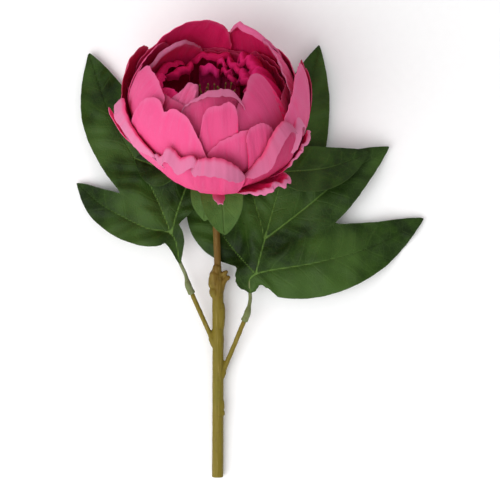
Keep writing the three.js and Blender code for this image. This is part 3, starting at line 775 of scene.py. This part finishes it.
def stamens():
    """Beaded threads on a button that closes the head pin."""
    shape = Shape()
    top = Ring(8).disc + 0.75  # just above the last ring's disc
    button = [(DISC_BORE, top), (5, top), (6, top + 2), (5.4, top + 6), (3, top + 9), (0.05, top + 10)]
    shape.turned([*button, (0.05, top + 6), (DISC_BORE, top + 5.6)], 24)
    count = 70
    for i in range(count):
        turn = i * GOLDEN_TURN
        start = 1.2 + 3.6 * math.sqrt(i / count)
        reach = start + 2 + 8 * math.sqrt(i / count) + 1.5 * ripple(i * 0.7, 3, 1)
        tall = 36 + 9 * ripple(i * 0.37, 9, 2) + 3.5 * (i % 4)
        sway = turn + 0.35 * ripple(i * 0.51, 4, 4)
        spots = [(start, turn, 3), (lerp(start, reach, 0.4), turn, tall * 0.45), (reach, sway, tall)]
        line = curve_through([in_head(r * math.cos(a), r * math.sin(a), top + h) for r, a, h in spots], 9)
        shape.tube(line, lambda t: 0.4 - 0.1 * t, 6)
        head = line[-1] - line[-2]
        head.normalize()
        bead = [line[-1] + head * x for x in (-0.7, -0.2, 0.5, 1.2, 1.7)]
        shape.tube(bead, lambda t: 0.2 + 0.42 * math.sin(math.pi * t), 6)
    finish = thread("stamen thread", (0.09, 0.07, 0.012), (0.3, 0.16, 0.04))
    shape.object("stamens", finish, "stamen_thread", ["stamen_tuft"])


stamens()


# ---- Leaves ----


PATH_POINTS = 90  # on the midrib of a lobe


class Lobe:
    """One lobe of a leaf.

    midrib: points along it. half: half of its greatest width. wide: the share of its length at which it
    has that. neck: the share before it widens. trough: how far its edges stand above the midrib.
    """

    def __init__(self, midrib, half, wide=0.42, neck=0.0, trough=2.0):
        self.path = curve_through(midrib, PATH_POINTS)
        self.half, self.wide, self.neck, self.trough = half, wide, neck, trough
        self.length = sum((b - a).length for a, b in zip(self.path, self.path[1:]))

    def reach(self, t):
        """Half the width at a share of the length."""
        bulge = np.maximum(0, (t - self.neck) / (1 - self.neck)) ** (math.log(0.5) / math.log(self.wide))
        return 0.25 + 0.7 * (1 - t) + self.half * np.sin(np.pi * np.clip(bulge, 0, 1)) ** 0.85


def puckers(s, d, half):
    """How far the cloth rises between its side veins, and waves at its edge."""
    off = np.abs(d)
    share = np.clip(off / half, 0, 1)
    wander = VEIN_WANDER * np.sin(s * WANDER_ALONG + d * WANDER_ACROSS)
    phase = (s - off * VEIN_SWEEP + off * off * VEIN_DROP - wander) / VEIN_SPACING
    swell = 0.5 + 0.5 * np.cos(2 * np.pi * phase)
    strength = 0.6 + 0.6 * np.sin(s * 0.071 + 1.7 * np.sign(d)) * np.cos(s * 0.033 + 2)
    lift = 2.2 * strength * swell * share * (1.15 - share) * 2.2
    lift += 1.2 * np.sin(s * 0.052 + 0.09 * d) * share
    lift += 1.3 * np.sin(s / 8.5 + np.sign(d) * 1.4) * share**3
    return lift - 0.5 * np.exp(-((off / 1.1) ** 2))


class Blade:
    """A leaf cut from one piece of cloth, as a height over the surface that its lobes share."""

    def __init__(self, lobes):
        self.lobes = lobes

    def measure(self, xy):
        """For each point: how far inside the outline it is, its height, each lobe's (s, d, half) there,
        the lobe it belongs to, and how far the nearest midrib is."""
        inside, heights, marks, ribs = [], [], [], []
        for lobe in self.lobes:
            path = np.array([tuple(p) for p in lobe.path])
            start, run = path[:-1, :2], np.diff(path[:, :2], axis=0)
            gap = xy[:, None, :] - start[None]
            share = np.clip((gap * run).sum(2) / (run**2).sum(1), 0, 1)
            off = gap - share[..., None] * run
            apart = np.linalg.norm(off, axis=2)
            near = apart.argmin(1)
            rows = np.arange(len(xy))
            share, apart = share[rows, near], apart[rows, near]
            cross = run[near, 0] * off[rows, near, 1] - run[near, 1] * off[rows, near, 0]
            t = (near + share) / (len(path) - 1)
            half = lobe.reach(t)
            d = apart * np.sign(cross)
            s = t * lobe.length
            z = path[near, 2] + share * np.diff(path[:, 2])[near]
            across = np.clip(apart / half, 0, 1.3)
            z = z + lobe.trough * np.sin(np.pi * t) * across**2
            z = z + puckers(s, d, half) * np.minimum(1, half / 9)
            inside.append(half - apart)
            ribs.append(apart)
            heights.append(z)
            marks.append(np.stack([s, d, half], 1))
        inside, heights, marks = np.array(inside), np.array(heights), np.array(marks)
        weight = np.exp(np.clip((inside - inside.max(0)) / 1.8, -30, 0))
        edge = inside.max(0) + 0.9 * np.log(weight.sum(0))
        edge = np.where(inside.max(0) > -6, edge, inside.max(0))
        soft = np.exp(np.clip((inside - inside.max(0)) / 2.6, -30, 0))
        x, y = xy[:, 0], xy[:, 1]
        height = (heights * soft).sum(0) / soft.sum(0)
        height += 1.3 * np.sin(0.085 * x + 0.04 * y + 1) * np.cos(0.07 * y - 0.05 * x)
        height += 0.9 * np.sin(0.21 * x - 0.13 * y) * np.sin(0.17 * y + 0.08 * x + 2)
        return edge, np.maximum(height, 0.4), marks, inside.argmax(0), np.min(ribs, 0)

    def outline_wave(self, xy):
        """How far the cut edge strays from a smooth outline."""
        coarse = [0.3 * ripple(x * 0.16, y * 0.16, 2.0) for x, y in xy]
        fine = [0.12 * ripple(x * 0.6, y * 0.6, 7.0) for x, y in xy]
        return np.array(coarse) + np.array(fine)

    def object(self, name, material, slot, replaced):
        """The blade as a closed sheet: squares of a grid, cut where the outline crosses them."""
        thickness, step = 0.45, 1.25
        ends = np.array([tuple(p)[:2] for lobe in self.lobes for p in lobe.path])
        low, high = ends.min(0) - 24, ends.max(0) + 24
        nx, ny = [int(n) + 1 for n in (high - low) / step]
        gx, gy = np.meshgrid(low[0] + step * np.arange(nx), low[1] + step * np.arange(ny), indexing="ij")
        xy = np.stack([gx.ravel(), gy.ravel()], 1)
        edge = self.measure(xy)[0] + self.outline_wave(xy)
        slope = np.stack(np.gradient(edge.reshape(nx, ny), step), 2).reshape(-1, 2)
        steep = np.maximum((slope**2).sum(1), 0.04)
        close = np.abs(edge) < 0.34 * step
        xy[close] -= slope[close] * (edge[close] / steep[close])[:, None]
        edge[close] = 0.0
        points, cuts = list(xy), {}

        def cut(a, b):
            """The number of the point where the outline crosses from a to b."""
            key = (min(a, b), max(a, b))
            if key not in cuts:
                share = edge[a] / (edge[a] - edge[b])
                points.append(xy[a] * (1 - share) + xy[b] * share)
                cuts[key] = len(points) - 1
            return cuts[key]

        faces = []
        for i in range(nx - 1):
            for j in range(ny - 1):
                corners = [i * ny + j, (i + 1) * ny + j, (i + 1) * ny + j + 1, i * ny + j + 1]
                signs = [edge[c] >= 0 for c in corners]
                if not any(edge[c] > 0 for c in corners):
                    continue
                face = []
                for k, c in enumerate(corners):
                    after = corners[(k + 1) % 4]
                    if signs[k]:
                        face.append(c)
                    if signs[k] != signs[(k + 1) % 4] and edge[c] != 0 and edge[after] != 0:
                        face.append(cut(c, after))
                if len(face) > 2:
                    faces.append(face)
        used = sorted({v for face in faces for v in face})
        renumber = {v: k for k, v in enumerate(used)}
        faces = [[renumber[v] for v in face] for face in faces]
        flat = np.array([points[v] for v in used])
        _, z, marks, _, rib = self.measure(flat)
        middles = np.array([flat[face].mean(0) for face in faces])
        owner = self.measure(middles)[3]
        count = len(flat)
        top = [Vector((x, y, h + thickness / 2)) * MM for (x, y), h in zip(flat, z)]
        bottom = [Vector((x, y, h - thickness / 2)) * MM for (x, y), h in zip(flat, z)]
        directed = {(a, b) for face in faces for a, b in zip(face, face[1:] + face[:1])}
        owners = list(owner) * 2
        skin = [*faces, *[[v + count for v in reversed(face)] for face in faces]]
        for face, lobe in zip(faces, owner):
            for a, b in zip(face, face[1:] + face[:1]):
                if (b, a) not in directed:
                    skin.append([b, a, a + count, b + count])
                    owners.append(lobe)
        mesh = bpy.data.meshes.new(name)
        mesh.from_pydata([*top, *bottom], [], skin)
        mark = mesh.attributes.new("mark", "FLOAT_VECTOR", "CORNER")
        values = [x for face, lobe in zip(skin, owners) for v in face for x in marks[lobe][v % count]]
        mark.data.foreach_set("vector", values)
        mesh.attributes.new("rib", "FLOAT", "POINT").data.foreach_set("value", [*rib, *rib])
        finish_object(name, mesh, material, replaced, 60)


leaf_cloth = leaf_fabric(
    "leaf fabric", (0.005, 0.015, 0.0006), (0.018, 0.047, 0.0025), (0.058, 0.12, 0.02), (0.12, 0.22, 0.04),
    0.44,
)
left_fork = place(-30, 160, 13)
left_lobes = [
    Lobe(
        [place(-24.6, 142, 12), left_fork, place(-48, 165, 13), place(-75, 179, 9), place(-93, 194, 0.9)],
        13, 0.55,
    ),
    Lobe(
        [left_fork, place(-41, 186, 14), place(-56, 213, 13), place(-71, 240, 10), place(-85, 280, 3)],
        21, 0.5,
    ),
    Lobe([left_fork, place(-27, 173, 13), place(-20, 193, 12), place(-13, 214, 11)], 11, 0.5, 0.1),
]
right_fork, upper_fork = place(25, 134, 12), place(31, 157, 12.5)
right_lobes = [
    Lobe(
        [place(21.4, 122, 10.5), right_fork, place(66, 142, 14), place(103, 153, 8.5), place(136, 171, 0.9)],
        22, trough=-3.5,
    ),
    Lobe([right_fork, upper_fork, place(44, 203, 11), place(57, 245, 8), place(67, 285, 4)], 22, 0.5),
    Lobe([upper_fork, place(57, 177, 12), place(84, 199, 10), place(113, 218, 6)], 19),
    Lobe([upper_fork, place(26, 176, 12), place(20, 197, 9)], 9, 0.5, 0.1),
    Lobe(
        [right_fork, place(15, 145, 6), place(6, 156, 3.8), place(-2, 170, 3), place(-14, 203, 2.5)],
        17, 0.5, 0.1, 0.6,
    ),
]
left_blade, right_blade = Blade(left_lobes), Blade(right_lobes)
left_blade.object("left_leaf", leaf_cloth, "leaf_fabric", ["left_leaf_blade"])
right_blade.object("right_leaf", leaf_cloth, "leaf_fabric", ["right_leaf_blade"])


def collar():
    """The two-lobed leaf that is threaded under the flower."""
    shape = Shape()
    z = -1.7
    add_disc(shape, z)
    right = [(5, 0, z), (14, 0, z), (25, 2, -6), (47, 7, -8), (74, 10, -7), (101, 20, -2)]
    left = [(-5, 0, z), (-14, 1, z), (-23, 4, -5), (-36, 8, -5), (-52, 13, -2)]
    for midrib, half, wide, neck, roll in ((right, 15, 0.55, 0.1, 40), (left, 13, 0.6, 0.15, -40)):
        lobe = Lobe([Vector(p) for p in midrib], half, wide, neck)
        centres = lobe.path[::2] + [lobe.path[-1]]
        last = PATH_POINTS - 1

        def spot_at(i, v):
            t = min(1, i * 2 / last)
            k = min(last - 1, i * 2)
            ahead = (lobe.path[k + 1] - lobe.path[k]).normalized()
            side = ahead.cross(Vector((0, 0, 1))).normalized()
            side = Matrix.Rotation(rad(roll) * smooth(0.15, 0.7, t), 3, ahead) @ side
            up = side.cross(ahead)
            width = float(lobe.reach(np.array(t)))
            d = v * width
            lift = lobe.trough * math.sin(math.pi * t) * v * v
            crumple = puckers(np.array(t * lobe.length), np.array(d), np.array(width))
            lift += float(crumple) * min(1, width / 9)
            return in_head(*(centres[i] + side * -d + up * lift)), (t * lobe.length, d, width)

        shape.sheet(len(centres), 17, spot_at, 0.45)
    shape.object("collar_leaves", leaf_cloth, "leaf_fabric", ["collar_leaf"], crisp=60)


collar()


def sepals():
    """Two large sepals that fold back to the stem and four small ones, on one disc."""
    shape = Shape()
    z = -0.45
    add_disc(shape, z)
    # Each one's turn round the axis, its length, half its width, and how far its end folds
    # back, or rises when that is negative.
    rows = [
        (-78, 43, 12.5, 29), (-103, 35, 9.5, 22), (-35, 24, 8, -3),
        (25, 24, 8, -3), (95, 22, 8, -3), (160, 24, 8, -3),
    ]
    for number, (turn, length, half, back) in enumerate(rows):
        a = rad(turn)
        out = Vector((math.cos(a), math.sin(a), 0))
        beside = Vector((-math.sin(a), math.cos(a), 0))
        far = length - max(0, back) * 0.35
        heights = (0, -1, -0.35 * back, -back) if back > 0 else (0, 0.7, 2.2, -back)
        spots = zip((DISC_RADIUS - 1, far * 0.45, far * 0.8, far), heights)
        path = curve_through([out * r + Vector((0, 0, z + h)) for r, h in spots], 26)
        last = len(path) - 1

        def spot_at(i, v):
            t = i / last
            ahead = (path[min(last, i + 1)] - path[max(0, i - 1)]).normalized()
            up = ahead.cross(beside)
            width = 0.35 + 2.4 * (1 - t) ** 2 + half * math.sin(math.pi * t**0.9) ** 0.6 * (1 - 0.25 * t**6)
            d = v * width * (1 + 0.03 * ripple(t * 6, v, number))
            cup = -1.6 * v * v * math.sin(math.pi * t) - 0.5 * math.exp(-(d**2)) * (1 - t)
            cup += 0.5 * ripple(t * 4, v * 2, number + 3)
            return in_head(*(path[i] + beside * d - up * cup)), (t * length, d, width)

        shape.sheet(len(path), 13, spot_at, 0.5)
    cloth = leaf_fabric(
        "sepal fabric", (0.04, 0.09, 0.014), (0.07, 0.135, 0.024), (0.095, 0.165, 0.04), (0.07, 0.13, 0.028),
        0.5,
    )
    shape.object("sepals", cloth, "sepal_fabric", ["sepal_ring"], crisp=60)


sepals()


# ---- Stem, calyx and leaf ribs ----

CUP_BOTTOM, CUP_TOP = -14.3, -2.8  # along the flower's axis from its foot
STEM_RADIUS, NECK_RADIUS = 3.7, 2.3
neck_low = in_head(0, 0, CUP_BOTTOM - 6) - CUT_END
neck_end = in_head(0, 0, CUP_BOTTOM + 3.65) - CUT_END
stem_rise = (neck_low.z - 5 - STEM_RADIUS) / neck_low.y  # for each mm along the surface


def on_stem(y, x=0.0, up=0.0):
    """A point along, right of and above the middle of the straight stem."""
    return place(x, y, STEM_RADIUS + stem_rise * y + up)


# The side branches, each from inside the stem to the end of its thick part.
LEFT = [on_stem(86, -1), on_stem(105, -9.6, 0.5), place(-16.6, 121, 11)]
RIGHT = [on_stem(64, 1), on_stem(84, 9.6, 0.5), place(17.4, 103, 10.5)]


def peg_tip(branch, beyond=6.0):
    """A point on the peg that a branch ends in, that far beyond its thick part."""
    return branch[2] + (branch[2] - branch[1]).normalized() * beyond


def knob(shape, centre, radius, long, turn=0.0):
    """A swelling on the moulding, longer along the stem than across it."""
    run = Vector((math.sin(turn), math.cos(turn), 0.04))
    path = [centre + run * (x * long) for x in (-1, -0.8, -0.5, 0, 0.5, 0.8, 1)]
    shape.tube(path, lambda t: radius * math.sqrt(max(0.02, 1 - (2 * t - 1) ** 2)), 16)


def add_knobs(shape, rows):
    """Knobs on the stem, each as its place along, right of and above it, its radius, half length and turn."""
    for y, x, up, radius, long, turn in rows:
        knob(shape, on_stem(y, x, up), radius, long, turn)


def stem():
    """The moulding with its side branches, its nodes and its cut shoot. It is made a little over size,
    because melting it into one skin takes some off."""
    shape = Shape()
    spots = [on_stem(0), on_stem(60, 0.3), on_stem(130, 0.2), on_stem(160, -0.6)]
    line = curve_through([*spots, CUT_END + neck_low, CUT_END + neck_end], 120)
    shape.tube(line, lambda t: lerp(STEM_RADIUS, NECK_RADIUS, smooth(0.635, 0.71, t)) + 0.12, 28)
    for branch in (LEFT, RIGHT):
        shape.tube(curve_through(branch, 20), lambda t: lerp(2.1, 1.65, smooth(0, 0.4, t)), 16)
        shape.tube([branch[2].lerp(branch[1], 0.1), peg_tip(branch)], lambda t: 1.15, 12)
        run = branch[1] - branch[0]
        knob(shape, branch[0] + run * 0.16, 2.7, 5.5, math.atan2(run.x, run.y))
    node = [(130.5, -2.1, 0.5, 3.9, 7.0, 0.12), (122, -2.2, 1.1, 3.3, 3.6, -0.25)]
    add_knobs(shape, [*node, (137, -0.6, 0.6, 3.1, 4.0, 0.2)])
    shoot = [on_stem(122, 1.4), on_stem(128, 3.6, 0.6), on_stem(133.0, 6.6, 0.9)]
    shape.tube(shoot, lambda t: lerp(2.6, 1.5, t), 14)
    on_shoot = [(134.6, 4.4, 0.9, 1.6, 3.2, 1.0), (131.6, 6.9, 0.9, 1.5, 1.9, 0.5)]
    scars = [(106, 1.9, 0.5, 3.3, 11.0, 0.04), (92, 1.0, 0.5, 3.4, 6.0, -0.05)]
    scars += [(48, 1.8, 0.4, 3.0, 5.0, -0.05), (43, 2.5, 0.6, 2.4, 3.0, -0.3)]
    add_knobs(shape, [*on_shoot, *scars, (165, -0.7, 0.2, 2.5, 5.0, 0.1)])

    def bark(p):
        """How far a point of the skin is pushed out: long ridges, and finer ones on them."""
        rel = p - CUT_END
        deep = 0.16 * ripple(rel.x * 1.1, rel.y * 0.09, rel.z * 1.1)
        return deep + 0.07 * ripple(rel.x * 2.6, rel.y * 0.4, rel.z * 2.6) - 0.1

    skin = fused(shape, "stem_moulding", 0.42, 3, bark)
    low = CUT_END.y
    finish = moulded(
        "stem plastic", (0.17, 0.13, 0.013), (0.13, 0.068, 0.01), (0.3, 0.23, 0.06), (0.12, 0.13, 0.012),
        0.42, low + 110, low + 150
    )
    finish_object("stem_moulding", skin, finish, ["stem"], 60)
    return finish


stem_finish = stem()


def calyx():
    """The cup under the flower, socketed on the stem's end."""
    shape = Shape()
    rows = [(2.65, 0), (4, 0), (4.4, 0.6), (5.2, 2.6), (6.6, 5.4), (7.9, 8), (8.7, 10.3)]
    outer = [(r, CUP_BOTTOM + h) for r, h in rows] + [(8.95, CUP_TOP - 0.4), (8.8, CUP_TOP)]
    inner = [(DISC_BORE, CUP_TOP), (DISC_BORE, CUP_BOTTOM + 4), (2.65, CUP_BOTTOM + 4)]

    def lobed(a, h):
        return 1 + 0.025 * math.cos(5 * a) if h > CUP_BOTTOM + 1 else 1

    shape.turned([*outer, *inner], 60, lobed)
    finish = moulded(
        "calyx plastic", (0.06, 0.12, 0.025), (0.1, 0.2, 0.05), (0.15, 0.24, 0.08), (0.12, 0.13, 0.03), 0.45
    )
    shape.object("calyx", finish, "calyx_plastic", ["calyx_cup"], crisp=50)


calyx()


def ribs(side, blade, stalk, branch):
    """The veins moulded under a leaf, with its stalk and the sleeve on the stem's branch."""

    def under(points, deep):
        """The same points at that depth under the middle of the blade's cloth."""
        heights = blade.measure(np.array([(p.x, p.y) for p in points]))[1]
        return [Vector((p.x, p.y, max(0.7, float(z) - deep))) for p, z in zip(points, heights)]

    shape = Shape()
    for lobe in blade.lobes:
        kept = int(PATH_POINTS * (0.86 if lobe.half > 15 else 0.8))  # up to where the blade is narrow
        path = under(lobe.path[:kept:2], 1.15)
        shape.tube(path, lambda t: 1.0 * (1 - 0.5 * t), 10)
        for k in range(12, kept - 8, 9):
            for way in (-1, 1):
                ahead = (lobe.path[k + 1] - lobe.path[k]).normalized()
                beside = Vector((-ahead.y, ahead.x, 0)) * way
                reach = float(lobe.reach(np.array(k / (PATH_POINTS - 1)))) * 0.62
                tip = lobe.path[k] + ahead * reach * 0.85 + beside * reach
                path = under([lobe.path[k].lerp(tip, x / 11) for x in range(12)], 0.75)
                shape.tube(path, lambda t: 0.5 * (1 - 0.45 * t), 6)
    mouth = peg_tip(branch, 0.35)
    inside = peg_tip(branch)
    start = blade.lobes[0].path
    path = curve_through([mouth, inside, stalk, start[0] - Vector((0, 0, 1)), *under([start[6]], 1.15)], 34)
    shape.tube(path, lambda t: lerp(2.25, 1.25, smooth(0.2, 0.42, t)), 18)
    shape.tube([mouth, mouth.lerp(inside, 0.3)], lambda t: 2.4, 18)
    skin = fused(shape, f"{side}_ribs", 0.36, 2)
    finish_object(f"{side}_ribs", skin, rib_finish, [f"{side}_leaf_rib"], 60)


rib_finish = moulded(
    "rib plastic", (0.14, 0.17, 0.06), (0.1, 0.17, 0.05), (0.24, 0.27, 0.15), (0.2, 0.22, 0.13), 0.5
)
ribs("left", left_blade, place(-21, 134, 10.6), LEFT)
ribs("right", right_blade, place(21.5, 117, 9.5), RIGHT)

for node, material in (("stem_wire", steel("steel wire")), ("head_pin", stem_finish)):
    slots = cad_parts[node].data.materials
    slots.clear()
    slots.append(material)


# ---- Floor, light and camera ----


def floor():
    """The surface, just below the flower's lowest point."""
    half = 3.0
    mesh = bpy.data.meshes.new("floor")
    mesh.from_pydata(
        [(-half, -half, 0), (half, -half, 0), (half, half, 0), (-half, half, 0)], [], [(0, 1, 2, 3)]
    )
    mesh.materials.append(paper_floor("pale floor"))
    made = add_object("floor", mesh)
    made.location.z = -0.0003


LAMP_AIM = Vector((0, 0.05, 0.04))


def lamp(name, spot, size, watts):
    light = bpy.data.lights.new(name, "AREA")
    light.shape = "DISK"
    light.size = size
    light.energy = watts
    made = add_object(name, light)
    made.location = spot
    made.rotation_euler = (LAMP_AIM - Vector(spot)).to_track_quat("-Z", "Y").to_euler()


floor()
lamp("key", (-0.68, -0.45, 1.0), 1.4, 14.3)
lamp("fill", (0.3, -1.1, 0.75), 0.9, 3)
lamp("back", (0.1, 1.1, 0.8), 0.8, 2)
world = bpy.data.worlds.new("studio")
world.use_nodes = True
world.node_tree.nodes["Background"].inputs["Color"].default_value = (1, 1, 1, 1)
world.node_tree.nodes["Background"].inputs["Strength"].default_value = 0.56
bpy.context.scene.world = world
bpy.context.scene.view_settings.view_transform = "Standard"

CAMERA_HEIGHT = 1210  # above the surface, in mm
FRAME_WIDTH = 328.5  # what it takes in, 10 mm above the surface
camera = add_object("camera", bpy.data.cameras.new("camera"))
camera.data.sensor_width = 36
camera.data.lens = camera.data.sensor_width * (CAMERA_HEIGHT - 10) / FRAME_WIDTH
camera.location = place(21.4, 150, CAMERA_HEIGHT) * MM
bpy.context.scene.camera = camera
